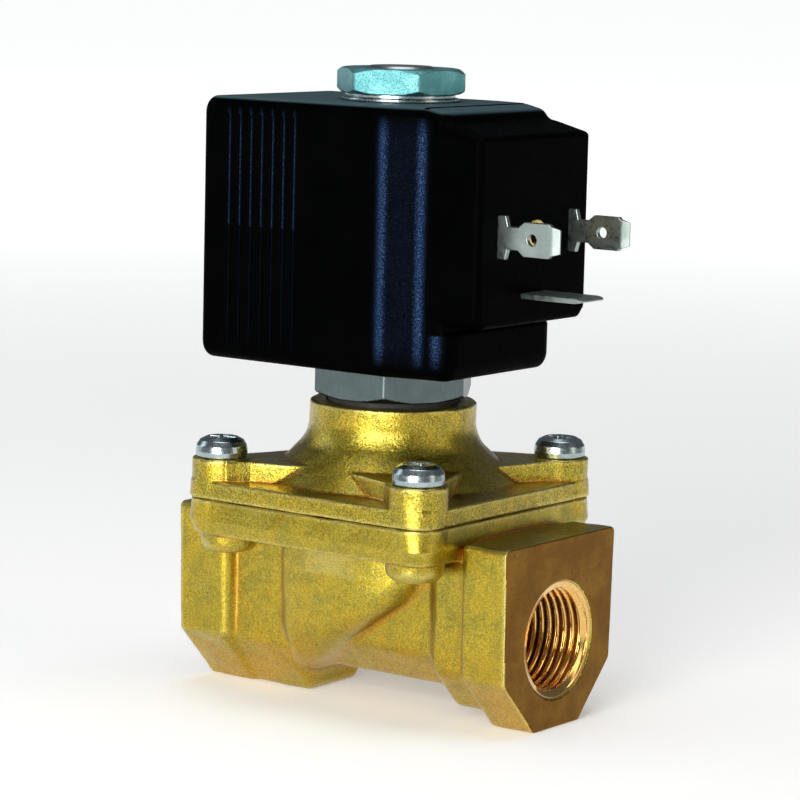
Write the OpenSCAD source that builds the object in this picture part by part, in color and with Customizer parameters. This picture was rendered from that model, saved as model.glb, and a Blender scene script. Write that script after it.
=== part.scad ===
// Servo-assisted solenoid valve, normally closed, with G3/8 threaded ports.
// Frame: X is the flow direction, Z is up along the armature tube, and the
// origin is the centre of the inlet port's mouth.

/* [Ports] */
// Length between the two port faces
body_len = 60; // [59:0.2:62]
// Distance from the inlet face to the armature tube's axis
axis_x = 29.2; // [29:0.1:31]
// Width of a port block at its top
port_w = 28.2; // [27:0.2:30]
// Top of a port block above the flow axis
port_top = 14.9; // [14:0.1:15.5]
// Bottom of a port block below the flow axis
port_low = 12.9; // [12:0.1:14]
// Thickness of a port block along the flow
port_t = 8.2; // [7:0.1:9]
// Core diameter of the G3/8 port thread
thread_core_d = 14.95; // [14.9:0.01:15.1]
// Length of the port thread
thread_len = 11.5; // [10:0.5:12]
// Bore of the flow passages
flow_d = 11; // [9:0.5:11.5]

/* [Body and bonnet] */
// Height of the joint between body and bonnet
joint_z = 17.5; // [17:0.1:18]
// Width of the square flange
flange_w = 44.6; // [44:0.2:46]
// Thickness of the body's flange
flange_t = 5.4; // [5:0.1:6]
// Distance between neighbouring cover screws
screw_pitch = 36; // [35:0.2:36.4]
// Diameter of a corner boss
boss_d = 8.7; // [8.4:0.1:9]
// Thickness of the bonnet's plate
plate_t = 2.7; // [2.5:0.1:3]
// Height of the bonnet's corner bosses above the joint
boss_h = 5.9; // [5.5:0.1:6.5]
// Diameter of the bonnet's round neck
neck_d = 24.8; // [24:0.2:25.4]
// Height of the top of the neck
neck_z = 32; // [31.8:0.1:32.2]
// Diameter of the main seat
seat_d = 12; // [11.6:0.1:12.4]
// Height of the main seat's lip
seat_z = 13.5; // [13.4:0.1:13.6]

/* [Diaphragm] */
// Diameter of the membrane
membrane_d = 34.4; // [34:0.1:34.6]
// Diameter of the control chamber
chamber_d = 29; // [28.4:0.2:29.4]
// Thickness of the membrane
membrane_t = 1.3; // [1.2:0.05:1.4]

/* [Armature] */
// Across flats of the tube's hexagon
hex_af = 22; // [21.5:0.1:22.4]
// Outer diameter of the armature tube
tube_d = 13; // [12.8:0.1:13.2]
// Diameter of the plunger
plunger_d = 11.6; // [11.4:0.05:11.7]
// Travel of the plunger
plunger_lift = 2; // [1.5:0.1:2.2]
// Height of the pilot orifice's lip
pilot_z = 28.4; // [28.2:0.1:28.6]
// Across flats of the coil nut
nut_af = 17; // [16.8:0.1:17]

/* [Coil] */
// Height of the coil's underside
coil_low = 37.4; // [37.2:0.1:37.6]
// Height of the coil's top
coil_top = 76.3; // [76:0.1:76.5]
// Width of the coil's rear part
coil_w = 30.4; // [30:0.1:31]
// Reach of the coil behind the armature tube
coil_rear = 25.9; // [25:0.1:26.5]
// Reach of the coil's front wall before the armature tube
coil_front = 19.8; // [19.4:0.1:20]
// Distance of the plug face from the armature tube
plug_x = 24.5; // [24:0.1:25]
// Width of the plug face
plug_w = 28; // [27.5:0.1:28]
// Distance between the two contact blades
blade_pitch = 18; // [17.8:0.1:18.2]

/* [Hidden] */
$fn = 64;
slack = 0.05;

port_chamfer = 7.8;
port_side_low = -4.7;
port_w_low = port_w - 1;
barrel_d = 23.4;
outlet_d = 17.8;
band_d = 22.8;
bowl_d = 35.6;
bowl_left = -10.8;
bowl_slant = 36;
bowl_foot = [-9, 0, -9.5];
seat_wall_d = 15.4;
lip_d = 14;
recess_z = joint_z - membrane_t;
screw_d = 4;
boss_low = 9.4;
lug_inset = 1;
rib_root = [12, 9];
rib_end = [21.5, 4.3];
drain_x = 19.4;
drain_d = 1.6;
seal_recess_d = 3.4;
seal_recess_h = 0.7;
roof_z = 25;
web_z = 27.2;
tube_thread_d = 18;
cone_r = neck_d / 2 + 6.8;
cone_top = joint_z + plate_t + 6.8;
disc_z = seat_z + membrane_t;
disc_t = 1.2;
rivet_d = 4;
tube_id = 11.8;
hex_low = 32.8;
core_z = pilot_z + 28.1 + plunger_lift;
plunger_top = core_z - plunger_lift;
stud_d = 9.9;
nut_low = coil_top + 1.1;
nut_h = 3.7;
nut_turn = 22;
stud_top = 81.4;
bobbin_low = coil_low + 4.4;
bobbin_high = coil_top - 4.6;
winding_d = 24.2;
frame_w = 22;
frame_t = 2.6;
frame_rear = 19.4;
frame_front = 13;
seal_d = 17;
plug_low = 45.1;
plug_high = 72.6;
contact_z = 58.5;
earth_z = 49.7;
blade_t = 0.8;
blade_reach = 10.4;
facet_x = 8.5;
facet_end_x = 16.4;
plug_slope_x = 19.6;
front_w = 25.8;
groove_count = 7;
groove_first = -20.3;
groove_pitch = 2.02;

// Moves to the armature tube's axis.
module at_axis() translate([axis_x, 0, 0]) children();

// A cylinder between two heights on the current axis.
module rod(d, low, high) translate([0, 0, low]) cylinder(d = d, h = high - low);

// A hollow cylinder between two heights.
module ring(d, hole_d, low, high) {
    difference() {
        rod(d, low, high);
        rod(hole_d, low - 1, high + 1);
    }
}

// A cylinder along X between two stations.
module bore_x(d, from_x, to_x)
    translate([from_x, 0, 0]) rotate([0, 90, 0]) cylinder(d = d, h = to_x - from_x);

// Places children at the four cover screws, or closer in by an inset along X and Y.
module at_screws(inset = 0)
    for (sx = [-1, 1], sy = [-1, 1])
        translate([sx, sy, 0] * (screw_pitch / 2 - inset)) children();

// Points of a helical spring's centre line, level at both ends.
function helix(r, low, high, turns, steps) = [
    for (i = [0 : steps])
        [r * cos(360 * turns * i / steps), r * sin(360 * turns * i / steps),
            low + (high - low) * i / steps]
];

// A closed stack of rings around a path, as one tube of round section.
module coil_spring(r, wire_d, low, high, turns, per_turn, sides) {
    steps = turns * per_turn;
    path = helix(r, low + wire_d / 2, high - wire_d / 2, turns, steps);
    points = [
        for (i = [0 : steps], k = [0 : sides - 1])
            let (a = 360 * turns * i / steps, b = 360 * k / sides)
            path[i] + wire_d / 2 * [cos(b) * cos(a), cos(b) * sin(a), sin(b)]
    ];
    skin = [
        for (i = [0 : steps - 1], k = [0 : sides - 1])
            let (n = (k + 1) % sides)
            [i * sides + k, (i + 1) * sides + k, (i + 1) * sides + n, i * sides + n]
    ];
    first_cap = [for (k = [0 : sides - 1]) k];
    last_cap = [for (k = [sides - 1 : -1 : 0]) steps * sides + k];
    polyhedron(points, concat(skin, [first_cap, last_cap]), convexity = 10);
}

// End view of a port block: a rectangle with its lower corners cut off.
module port_outline() {
    polygon([
        [-port_w / 2, port_top], [-port_w_low / 2, port_side_low],
        [-port_w_low / 2 + port_chamfer, -port_low], [port_w_low / 2 - port_chamfer, -port_low],
        [port_w_low / 2, port_side_low], [port_w / 2, port_top]
    ]);
}

module port_block(from_x, thickness)
    translate([from_x, 0, 0]) rotate([90, 0, 90]) linear_extrude(thickness) port_outline();

// Square flange with a round boss on each screw.
module flange(low, high) {
    translate([-flange_w / 2 + 2, -flange_w / 2, low])
        cube([flange_w - 4, flange_w, high - low]);
    translate([-flange_w / 2, -flange_w / 2 + 2, low])
        cube([flange_w, flange_w - 4, high - low]);
    at_screws() rod(boss_d, low, high);
}

// Inlet passage, which rises into the ring-shaped chamber round the seat.
module inlet_passage() {
    bore_x(flow_d, 1, axis_x - 9);
    translate([12, 0, 0]) rotate([0, 42, 0]) cylinder(d = flow_d, h = 17);
    at_axis() rod(chamber_d, 8, joint_z + 1);
}

// End view of the bowl, which narrows towards its foot.
module bowl_outline() {
    half = [
        [0, joint_z], [17.8, joint_z], [17.4, 8], [15.6, 0], [12.4, -6.5],
        [8, -11], [3.4, -port_low], [0, -port_low]
    ];
    polygon(half);
    mirror([1, 0, 0]) polygon(half);
}

// Bowl under the flange, cut off on a slant above the outlet passage.
module bowl()
    intersection() {
        rod(bowl_d, -port_low, joint_z - 1);
        translate([bowl_left, 0, 0]) rotate([90, 0, 90])
            linear_extrude(bowl_d) bowl_outline();
        translate(bowl_foot) rotate([0, -bowl_slant, 0])
            translate([-bowl_d, -bowl_d, 0]) cube(2 * bowl_d);
    }

module valve_body() {
    color([0.76, 0.65, 0.3]) difference() {
        union() {
            port_block(0, port_t);
            port_block(body_len - port_t, port_t);
            bore_x(barrel_d, 2, axis_x + bowl_left + 2);
            bore_x(outlet_d, axis_x + bowl_left, body_len - 2);
            at_axis() {
                bore_x(band_d, 16, 21);
                flange(joint_z - flange_t, joint_z);
                at_screws(lug_inset) rod(boss_d, boss_low, joint_z - 1);
                bowl();
            }
        }
        difference() {
            inlet_passage();
            at_axis() rod(seat_wall_d, -port_low, seat_z - 1.2);
            at_axis() rod(lip_d, -port_low, seat_z);
        }
        at_axis() rod(seat_d, 0, joint_z);
        at_axis() sphere(d = seat_d);
        bore_x(flow_d, axis_x, body_len - 1);
        bore_x(thread_core_d, -1, thread_len);
        bore_x(thread_core_d, body_len - thread_len, body_len + 1);
        at_axis() {
            rod(membrane_d + 0.2, recess_z, joint_z + 1);
            at_screws() rod(screw_d, boss_low + 1.2, joint_z + 1);
            translate([drain_x, 0, 0]) rod(drain_d, 3, joint_z + 1);
            translate([drain_x, 0, 0])
                rod(seal_recess_d, joint_z - seal_recess_h, joint_z + 1);
        }
    }
}

// Outer turned shape of the bonnet's middle: a cone that rises to a round neck.
module bonnet_dome()
    rotate_extrude() polygon([
        [0, joint_z], [cone_r, joint_z], [cone_r, joint_z + plate_t],
        [neck_d / 2, cone_top], [neck_d / 2, neck_z - 0.4],
        [neck_d / 2 - 0.4, neck_z], [0, neck_z]
    ]);

// Hollow of the control chamber under the bonnet.
module control_chamber()
    rotate_extrude() polygon([
        [0, joint_z - 1], [chamber_d / 2, joint_z - 1], [chamber_d / 2, joint_z + 2.2],
        [8, roof_z], [0, roof_z]
    ]);

// Rib from a screw boss to the cone, which widens towards the cone.
module rib()
    translate([0, 0, joint_z]) linear_extrude(boss_h - 0.2) polygon([
        [rib_root.x, -rib_root.y], [rib_end.x, -rib_end.y], [25, -rib_end.y],
        [25, rib_end.y], [rib_end.x, rib_end.y], [rib_root.x, rib_root.y]
    ]);

module bonnet() {
    color([0.74, 0.62, 0.28]) at_axis() difference() {
        union() {
            flange(joint_z, joint_z + plate_t);
            at_screws() rod(boss_d, joint_z, joint_z + boss_h);
            bonnet_dome();
            for (a = [45 : 90 : 315]) rotate([0, 0, a]) rib();
        }
        control_chamber();
        rod(tube_thread_d, web_z, neck_z + 1);
        rod(19.6, neck_z - 1.2, neck_z + 1);
        at_screws() rod(screw_d + 0.5, joint_z - 1, joint_z + boss_h + 1);
        rod(5, roof_z - 1, web_z + 1);
        for (a = [120, 240]) rotate([0, 0, a])
            translate([6, 0, 0]) rod(1.8, roof_z - 1, web_z + 1);
        translate([drain_x, 0, 0]) rod(drain_d, joint_z - 1, joint_z + 1.2);
        translate([drain_x, 0, joint_z + 0.9]) rotate([0, -49.5, 0])
            cylinder(d = drain_d, h = 12.4);
        translate([2, 0, (roof_z + web_z) / 2]) rotate([0, 90, 0])
            cylinder(d = drain_d, h = 9);
    }
}

// Pan head screws with a cross recess.
module bonnet_screws() {
    color([0.78, 0.8, 0.82]) at_axis() at_screws() {
        rod(screw_d - 0.02, boss_low + 2.2, joint_z + boss_h);
        difference() {
            translate([0, 0, joint_z + boss_h]) rotate_extrude() polygon([
                [0, 0], [3.8, 0], [3.8, 1.7], [3.2, 2.7], [1.8, 3.1], [0, 3.1]
            ]);
            for (a = [0, 90]) rotate([0, 0, a])
                translate([-2.2, -0.5, joint_z + boss_h + 1.6]) cube([4.4, 1, 3]);
        }
    }
}

// Brass nozzle that the plunger's seal closes.
module pilot_seat() {
    color([0.8, 0.68, 0.34]) at_axis() difference() {
        rotate_extrude() polygon([
            [0, roof_z], [2.5 - slack, roof_z], [2.5 - slack, web_z], [3.4, web_z],
            [3.4, web_z + 0.5], [1.3, pilot_z], [0, pilot_z]
        ]);
        rod(1.4, roof_z + 0.5, pilot_z + 1);
        translate([0, 0, (roof_z + web_z) / 2]) rotate([0, 90, 0])
            cylinder(d = 1.2, h = 4);
    }
}

// Rubber ring round the drain passage at the joint face.
module drain_seal()
    color([0.08, 0.08, 0.08]) at_axis() translate([drain_x, 0, 0])
        ring(seal_recess_d - 0.1, drain_d + 0.1, joint_z - seal_recess_h, joint_z);

// Rubber membrane, dished down onto the seat and clamped at its rim.
module diaphragm()
    color([0.12, 0.11, 0.1]) at_axis() rotate_extrude() polygon([
        [rivet_d / 2, seat_z], [9.4, seat_z], [chamber_d / 2 - 1.4, recess_z - 0.2],
        [chamber_d / 2, recess_z], [membrane_d / 2, recess_z], [membrane_d / 2, joint_z],
        [chamber_d / 2 - 2, joint_z - 0.1], [8.9, disc_z], [rivet_d / 2, disc_z]
    ]);

// Pressed plate that backs the membrane above the seat.
module diaphragm_disc()
    color([0.72, 0.73, 0.74]) at_axis() rotate_extrude() polygon([
        [rivet_d / 2, disc_z], [8, disc_z], [8.8, disc_z + 0.8], [8.8, disc_z + 1.5],
        [8.1, disc_z + 1.5], [7.5, disc_z + disc_t], [rivet_d / 2, disc_z + disc_t]
    ]);

// Washer under the membrane, inside the seat.
module diaphragm_washer()
    color([0.72, 0.73, 0.74]) at_axis()
        ring(9.6, rivet_d, seat_z - 1, seat_z);

// Hollow rivet with the bleed hole that fills the control chamber.
module diaphragm_rivet() {
    color([0.8, 0.68, 0.34]) at_axis() difference() {
        union() {
            rod(rivet_d, seat_z - 1.6, disc_z + disc_t + 0.6);
            rod(6, seat_z - 1.8, seat_z - 1);
            rod(6, disc_z + disc_t, disc_z + disc_t + 0.8);
        }
        rod(1, seat_z - 3, disc_z + 4);
    }
}

module diaphragm_spring()
    color([0.6, 0.62, 0.64]) at_axis()
        coil_spring(5.4, 0.8, disc_z + disc_t, roof_z, 4, 24, 8);

// Hexagon and thread that carry the armature tube.
module tube_base() {
    color([0.66, 0.67, 0.67]) at_axis() difference() {
        union() {
            intersection() {
                translate([0, 0, hex_low])
                    cylinder(d = hex_af / cos(30), h = coil_low - hex_low, $fn = 6);
                rotate_extrude() polygon([
                    [0, hex_low], [hex_af / 2 - 0.2, hex_low],
                    [hex_af * 0.6, hex_low + 1], [hex_af * 0.6, coil_low], [0, coil_low]
                ]);
            }
            rod(tube_thread_d - 0.1, web_z + 0.1, hex_low);
        }
        rod(tube_id, web_z - 1, coil_low + 1);
        rod(tube_d, web_z + 1.5, coil_low + 1);
    }
}

// Rubber ring between the hexagon and the bonnet's neck.
module tube_seal()
    color([0.07, 0.07, 0.07]) at_axis()
        ring(19.5, tube_thread_d, neck_z - 1.2, hex_low);

module armature_tube()
    color([0.75, 0.76, 0.77]) at_axis()
        ring(tube_d, tube_id, web_z + 1.5, coil_top - 2);

// Magnetic stop that closes the tube and ends in the coil nut's stud.
module fixed_core() {
    color([0.62, 0.63, 0.64]) at_axis() difference() {
        rotate_extrude() polygon([
            [0, core_z], [tube_id / 2, core_z], [tube_id / 2, coil_top - 2],
            [stud_d / 2, coil_top - 1.4], [stud_d / 2, stud_top - 0.5],
            [stud_d / 2 - 0.5, stud_top], [0, stud_top]
        ]);
        ring(9, 7.4, core_z - 1, core_z + 1);
        rod(5, core_z - 1, core_z + 1.5);
    }
}

// Copper ring in the stop's face that keeps the plunger quiet on AC.
module shading_ring()
    color([0.72, 0.42, 0.25]) at_axis() ring(9, 7.4, core_z, core_z + 1);

module plunger() {
    color([0.7, 0.71, 0.72]) at_axis() difference() {
        rotate_extrude() polygon([
            [0, pilot_z], [4.2, pilot_z], [plunger_d / 2, pilot_z + 1.6],
            [plunger_d / 2, plunger_top - 0.5], [plunger_d / 2 - 0.5, plunger_top],
            [0, plunger_top]
        ]);
        rod(5.2, pilot_z - 1, pilot_z + 2.4);
        rod(5, plunger_top - 8, plunger_top + 1);
        for (s = [-1, 1]) translate([s * (plunger_d / 2 + 0.4), 0, pilot_z + 4])
            translate([-0.8, -0.75, 0]) cube([1.6, 1.5, 26]);
    }
}

module plunger_seal()
    color([0.16, 0.14, 0.12]) at_axis() rod(5.2, pilot_z, pilot_z + 2.4);

module plunger_spring()
    color([0.6, 0.62, 0.64]) at_axis()
        coil_spring(1.9, 0.5, plunger_top - 8, core_z + 1.5, 8, 16, 6);

// Plan of the coil case: a wide rear, a slanting facet and a narrower front.
module coil_plan() {
    half = [
        [-coil_rear, 0], [-coil_rear, coil_w / 2 - 2], [-coil_rear + 0.6, coil_w / 2 - 0.6],
        [-coil_rear + 2, coil_w / 2], [facet_x, coil_w / 2], [facet_end_x, front_w / 2],
        [coil_front - 1.2, front_w / 2], [coil_front, front_w / 2 - 1.2], [coil_front, 0]
    ];
    polygon(half);
    mirror([0, 1, 0]) polygon(half);
}

// Side view of the plug block, with its top sloping down to the plug face.
module plug_profile()
    polygon([
        [facet_end_x, plug_low], [plug_x, plug_low], [plug_x, plug_high],
        [plug_slope_x, plug_high + 1.4], [facet_end_x, plug_high + 2]
    ]);

// Steel and copper inside the case, which the plastic encloses.
module coil_insides() {
    rod(tube_d + 0.2, coil_low - 1, coil_top + 1);
    rod(winding_d + 1, bobbin_low, bobbin_high);
    yoke_shape();
}

module coil_case() {
    color([0.045, 0.045, 0.05]) at_axis() difference() {
        union() {
            intersection() {
                translate([0, 0, coil_low]) linear_extrude(coil_top - coil_low) coil_plan();
                rotate([90, 0, 0]) translate([0, 0, -30]) linear_extrude(60) polygon([
                    [-coil_rear, coil_low + 1.5], [-coil_rear + 1.5, coil_low],
                    [coil_front - 1, coil_low], [coil_front, coil_low + 1],
                    [coil_front, coil_top - 2.4], [coil_front - 0.8, coil_top - 1.1],
                    [coil_front - 2.4, coil_top - 0.3], [coil_front - 4.6, coil_top],
                    [-coil_rear + 1.5, coil_top], [-coil_rear, coil_top - 1.5]
                ]);
            }
            difference() {
                translate([0, plug_w / 2, 0]) rotate([90, 0, 0])
                    linear_extrude(plug_w) plug_profile();
                for (s = [-1, 1]) translate([plug_x, s * plug_w / 2, plug_low])
                    rotate([45, 0, 0]) translate([-9, -1.1, -1.1]) cube([20, 2.2, 2.2]);
            }
        }
        coil_insides();
        rod(seal_d, bobbin_high + frame_t, coil_top + 1);
        for (s = [-1, 1], i = [0 : groove_count - 1])
            translate([groove_first + i * groove_pitch, s * coil_w / 2, 0])
                translate([-0.35, -0.3, coil_low + 1.6])
                    cube([0.7, 0.6, coil_top - coil_low - 4.4]);
        translate([0, 0, contact_z]) bore_x(4.2, plug_x - 7, plug_x + 1);
        for (s = [-1, 1]) translate([0, s * blade_pitch / 2, contact_z])
            translate([facet_end_x, -blade_t / 2, -3.1]) cube([10, blade_t, 6.2]);
        translate([facet_end_x, -3.15, earth_z - blade_t / 2]) cube([10, 6.3, blade_t]);
    }
}

// Former that the wire is wound on.
module bobbin() {
    color([0.16, 0.17, 0.2]) at_axis() difference() {
        union() {
            rod(16, bobbin_low, bobbin_high);
            rod(winding_d + 1, bobbin_low, bobbin_low + 1.2);
            rod(winding_d + 1, bobbin_high - 1.2, bobbin_high);
        }
        rod(tube_d + 0.2, bobbin_low - 1, bobbin_high + 1);
    }
}

module winding()
    color([0.72, 0.35, 0.16]) at_axis()
        ring(winding_d, 16, bobbin_low + 1.2, bobbin_high - 1.2);

// Steel loop that carries the magnetic flux round the winding.
module yoke_shape() {
    for (z = [bobbin_low - frame_t, bobbin_high])
        translate([-frame_rear, -frame_w / 2, z])
            cube([frame_rear + frame_front, frame_w, frame_t]);
    translate([-frame_rear, -frame_w / 2, bobbin_low - frame_t])
        cube([frame_t, frame_w, bobbin_high - bobbin_low + 2 * frame_t]);
}

module yoke_frame() {
    color([0.5, 0.51, 0.53]) at_axis() difference() {
        yoke_shape();
        rod(tube_d + 0.2, coil_low - 1, coil_top + 1);
        rod(seal_d, bobbin_high, coil_top + 1);
    }
}

// Steel sleeve that leads the flux from the upper yoke leg to the tube.
module flux_sleeve()
    color([0.5, 0.51, 0.53]) at_axis()
        ring(seal_d, tube_d + 0.2, bobbin_high, bobbin_high + frame_t);

// Gasket under the washers that keeps water out of the coil's bore.
module coil_seal()
    color([0.07, 0.07, 0.07]) at_axis()
        ring(seal_d, tube_d + 0.2, bobbin_high + frame_t, coil_top);

// A flat contact blade standing on edge, with shoulders, a neck and a hole.
module contact_blade()
    translate([0, blade_t / 2, 0]) rotate([90, 0, 0]) linear_extrude(blade_t)
        difference() {
            polygon([
                [facet_end_x, -3.1], [plug_x + 1.3, -3.1], [plug_x + 1.7, -1.65],
                [plug_x + 3.4, -1.65], [plug_x + 4.4, -2.45], [plug_x + 8.6, -2.45],
                [plug_x + 8.9, -2.1], [plug_x + blade_reach, -1.7],
                [plug_x + blade_reach, 1.7], [plug_x + 8.9, 2.1], [plug_x + 8.6, 2.45],
                [plug_x + 4.4, 2.45], [plug_x + 3.4, 1.65], [plug_x + 1.7, 1.65],
                [plug_x + 1.3, 3.1], [facet_end_x, 3.1]
            ]);
            translate([plug_x + 5.8, 0]) circle(d = 1.6);
        }

module line_terminal()
    color([0.72, 0.76, 0.76]) at_axis()
        translate([0, -blade_pitch / 2, contact_z]) contact_blade();

module neutral_terminal()
    color([0.72, 0.76, 0.76]) at_axis()
        translate([0, blade_pitch / 2, contact_z]) contact_blade();

// Flat earth blade lying level below the contacts.
module earth_terminal()
    color([0.72, 0.76, 0.76]) at_axis()
        translate([0, 0, earth_z - blade_t / 2]) linear_extrude(blade_t) polygon([
            [facet_end_x, -3.15], [plug_x + 9.8, -3.15], [plug_x + blade_reach, -2.5],
            [plug_x + blade_reach, 2.5], [plug_x + 9.8, 3.15], [facet_end_x, 3.15]
        ]);

// Threaded brass insert for the plug's centre screw.
module plug_insert() {
    color([0.82, 0.68, 0.32]) at_axis() translate([0, 0, contact_z]) difference() {
        bore_x(4.2, plug_x - 7, plug_x + 0.4);
        bore_x(2.5, plug_x - 6.4, plug_x + 1);
    }
}

module coil_washer()
    color([0.7, 0.76, 0.75]) at_axis() ring(17.2, stud_d + 0.4, coil_top, coil_top + 0.5);

module lock_washer()
    color([0.7, 0.76, 0.75]) at_axis() ring(16.2, stud_d + 0.3, coil_top + 0.5, nut_low);

module coil_nut() {
    color([0.68, 0.78, 0.77]) at_axis() difference() {
        intersection() {
            translate([0, 0, nut_low])
                rotate([0, 0, nut_turn]) cylinder(d = nut_af / cos(30), h = nut_h, $fn = 6);
            rotate_extrude() polygon([
                [0, nut_low], [nut_af / 2 + 0.4, nut_low], [nut_af * 0.6, nut_low + 0.7],
                [nut_af * 0.6, nut_low + nut_h - 0.9], [nut_af / 2 - 0.1, nut_low + nut_h],
                [0, nut_low + nut_h]
            ]);
        }
        rod(stud_d + 0.04, nut_low - 1, nut_low + nut_h + 1);
    }
}

valve_body();
bonnet();
bonnet_screws();
pilot_seat();
drain_seal();
diaphragm();
diaphragm_disc();
diaphragm_washer();
diaphragm_rivet();
diaphragm_spring();
tube_base();
tube_seal();
armature_tube();
fixed_core();
shading_ring();
plunger();
plunger_seal();
plunger_spring();
coil_case();
bobbin();
winding();
yoke_frame();
flux_sleeve();
coil_seal();
line_terminal();
neutral_terminal();
earth_terminal();
plug_insert();
coil_washer();
lock_washer();
coil_nut();
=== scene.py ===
"""Looks of a servo-assisted solenoid valve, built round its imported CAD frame.

Shapes are worked out in millimetres with X and Y measured from the armature tube's axis
and Z from the flow axis, and written to the meshes in metres in the frame's own place.
"""
import math

import bpy
import numpy as np
from mathutils import Matrix, Vector


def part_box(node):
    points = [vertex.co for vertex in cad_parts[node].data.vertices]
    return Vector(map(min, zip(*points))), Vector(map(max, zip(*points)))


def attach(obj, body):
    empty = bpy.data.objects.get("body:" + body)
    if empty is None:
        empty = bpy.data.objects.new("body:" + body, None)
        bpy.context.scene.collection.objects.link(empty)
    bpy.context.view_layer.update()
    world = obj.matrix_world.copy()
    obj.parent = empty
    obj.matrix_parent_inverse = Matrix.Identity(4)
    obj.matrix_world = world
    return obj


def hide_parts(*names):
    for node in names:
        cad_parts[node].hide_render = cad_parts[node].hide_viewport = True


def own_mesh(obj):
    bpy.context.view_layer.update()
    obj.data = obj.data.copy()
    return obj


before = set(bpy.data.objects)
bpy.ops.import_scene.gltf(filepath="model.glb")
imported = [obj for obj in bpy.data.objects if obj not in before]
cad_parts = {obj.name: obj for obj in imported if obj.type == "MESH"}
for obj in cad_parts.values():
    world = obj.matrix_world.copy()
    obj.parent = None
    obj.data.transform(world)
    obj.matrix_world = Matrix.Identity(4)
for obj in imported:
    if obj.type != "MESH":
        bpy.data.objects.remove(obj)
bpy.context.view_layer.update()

MM = 0.001
tube_low, tube_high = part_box("armature_tube")
AXIS_X = (tube_low.x + tube_high.x) / 2
body_low, body_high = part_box("valve_body")
INLET_X = (body_low.x - AXIS_X) / MM
OUTLET_X = (body_high.x - AXIS_X) / MM
FLOOR_Z = body_low.z
SCREW = 18.0  # from the tube's axis, along X and along Y
SIDE_Y = 22.34  # widest half width
FOOT_Z = -12.9  # underside of the body
FORGING_GRID = (0.3, 0.3, 0.3)
EDGE_REACH = 0.9
JOINT_Z = 17.5  # between body and bonnet
PLATE_Z = 20.2  # top of the bonnet's plate
BOSS_Z = 23.4  # under the screw heads
CONTACT_Z = 58.5  # line through the two upper blades and the insert
EARTH_Z = 49.7
SEAM_Z = 57.6  # faint line round the coil
PASSAGE_R = 5.5
MOUTH_R = 8.85
THREAD_PITCH = 1.337
THREAD_MINOR = 7.475
THREAD_MAJOR = 8.33
THREAD_LEN = 11.5
DIAGONAL = 0.7071  # turns a gap measured along an axis into one across a 45 degree face


# ---- camera
def add_camera():
    data = bpy.data.cameras.new("camera")
    data.sensor_width = 36.0
    data.lens = 148.65
    data.clip_start = 0.01
    data.clip_end = 100.0
    camera = bpy.data.objects.new("camera", data)
    bpy.context.scene.collection.objects.link(camera)
    azimuth = math.radians(36.244)
    elevation = math.radians(8.062)
    roll = math.radians(1.392)
    back = Vector((
        math.sin(azimuth) * math.cos(elevation),
        -math.cos(azimuth) * math.cos(elevation),
        math.sin(elevation),
    ))
    right = Vector((math.cos(azimuth), math.sin(azimuth), 0.0))
    up = back.cross(right)
    turned_right = right * math.cos(roll) + up * math.sin(roll)
    turned_up = up * math.cos(roll) - right * math.sin(roll)
    turn = Matrix((turned_right, turned_up, back)).transposed()
    place = Vector((AXIS_X + 288.41 * MM, -391.73 * MM, 100.78 * MM))
    camera.matrix_world = Matrix.Translation(place) @ turn.to_4x4()
    bpy.context.scene.camera = camera


add_camera()


# ---- solids as distances
def join(a, b, r=0.0):
    """Union of two distances with a fillet of radius r in the corner between them."""
    if r <= 0:
        return np.minimum(a, b)
    return np.maximum(r, np.minimum(a, b)) - np.hypot(
        np.maximum(r - a, 0), np.maximum(r - b, 0)
    )


def meet(a, b, r=0.0):
    """Intersection of two distances with an edge rounded to radius r."""
    if r <= 0:
        return np.maximum(a, b)
    return np.minimum(-r, np.maximum(a, b)) + np.hypot(
        np.maximum(r + a, 0), np.maximum(r + b, 0)
    )


def union(*solids):
    return np.minimum.reduce(solids)


def cut(a, b, r=0.0):
    """Solid a without solid b, with the rim rounded to radius r."""
    return meet(a, -b, r)


def slab(v, low, high):
    return np.maximum(low - v, v - high)


def box2(u, v, half_u, half_v, r):
    """Rectangle with corners of radius r, centred on the origin."""
    qu = np.abs(u) - (half_u - r)
    qv = np.abs(v) - (half_v - r)
    return np.hypot(np.maximum(qu, 0), np.maximum(qv, 0)) + np.minimum(
        np.maximum(qu, qv), 0
    ) - r


def inset(points, r):
    """Convex polygon, listed anticlockwise, with each side moved in by r."""
    count = len(points)
    lines = []
    for i in range(count):
        (ax, ay), (bx, by) = points[i], points[(i + 1) % count]
        length = math.hypot(bx - ax, by - ay)
        nx, ny = (by - ay) / length, (ax - bx) / length
        lines.append((nx, ny, nx * ax + ny * ay - r))
    moved = []
    for i in range(count):
        ax, ay, ad = lines[i - 1]
        bx, by, bd = lines[i]
        det = ax * by - ay * bx
        moved.append(((ad * by - bd * ay) / det, (ax * bd - bx * ad) / det))
    return moved


def polygon(points, u, v):
    """Distance to a closed polygon, negative inside."""
    nearest = None
    inside = np.zeros(np.shape(u), bool)
    count = len(points)
    for i in range(count):
        (ax, ay), (bx, by) = points[i], points[(i + 1) % count]
        ex, ey = bx - ax, by - ay
        t = np.clip(((u - ax) * ex + (v - ay) * ey) / (ex * ex + ey * ey), 0, 1)
        gap = (u - ax - t * ex) ** 2 + (v - ay - t * ey) ** 2
        nearest = gap if nearest is None else np.minimum(nearest, gap)
        if ay != by:
            spans = (v >= ay) != (v >= by)
            inside ^= spans & (u < ax + (v - ay) / (by - ay) * ex)
    return np.where(inside, -1.0, 1.0) * np.sqrt(nearest)


def soft_polygon(points, u, v, r):
    """Convex polygon with its corners rounded to radius r."""
    return polygon(inset(points, r), u, v) - r


def rod(x, y, z, r, low, high, edge=0.0):
    return meet(np.hypot(x, y) - r, slab(z, low, high), edge)


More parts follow.
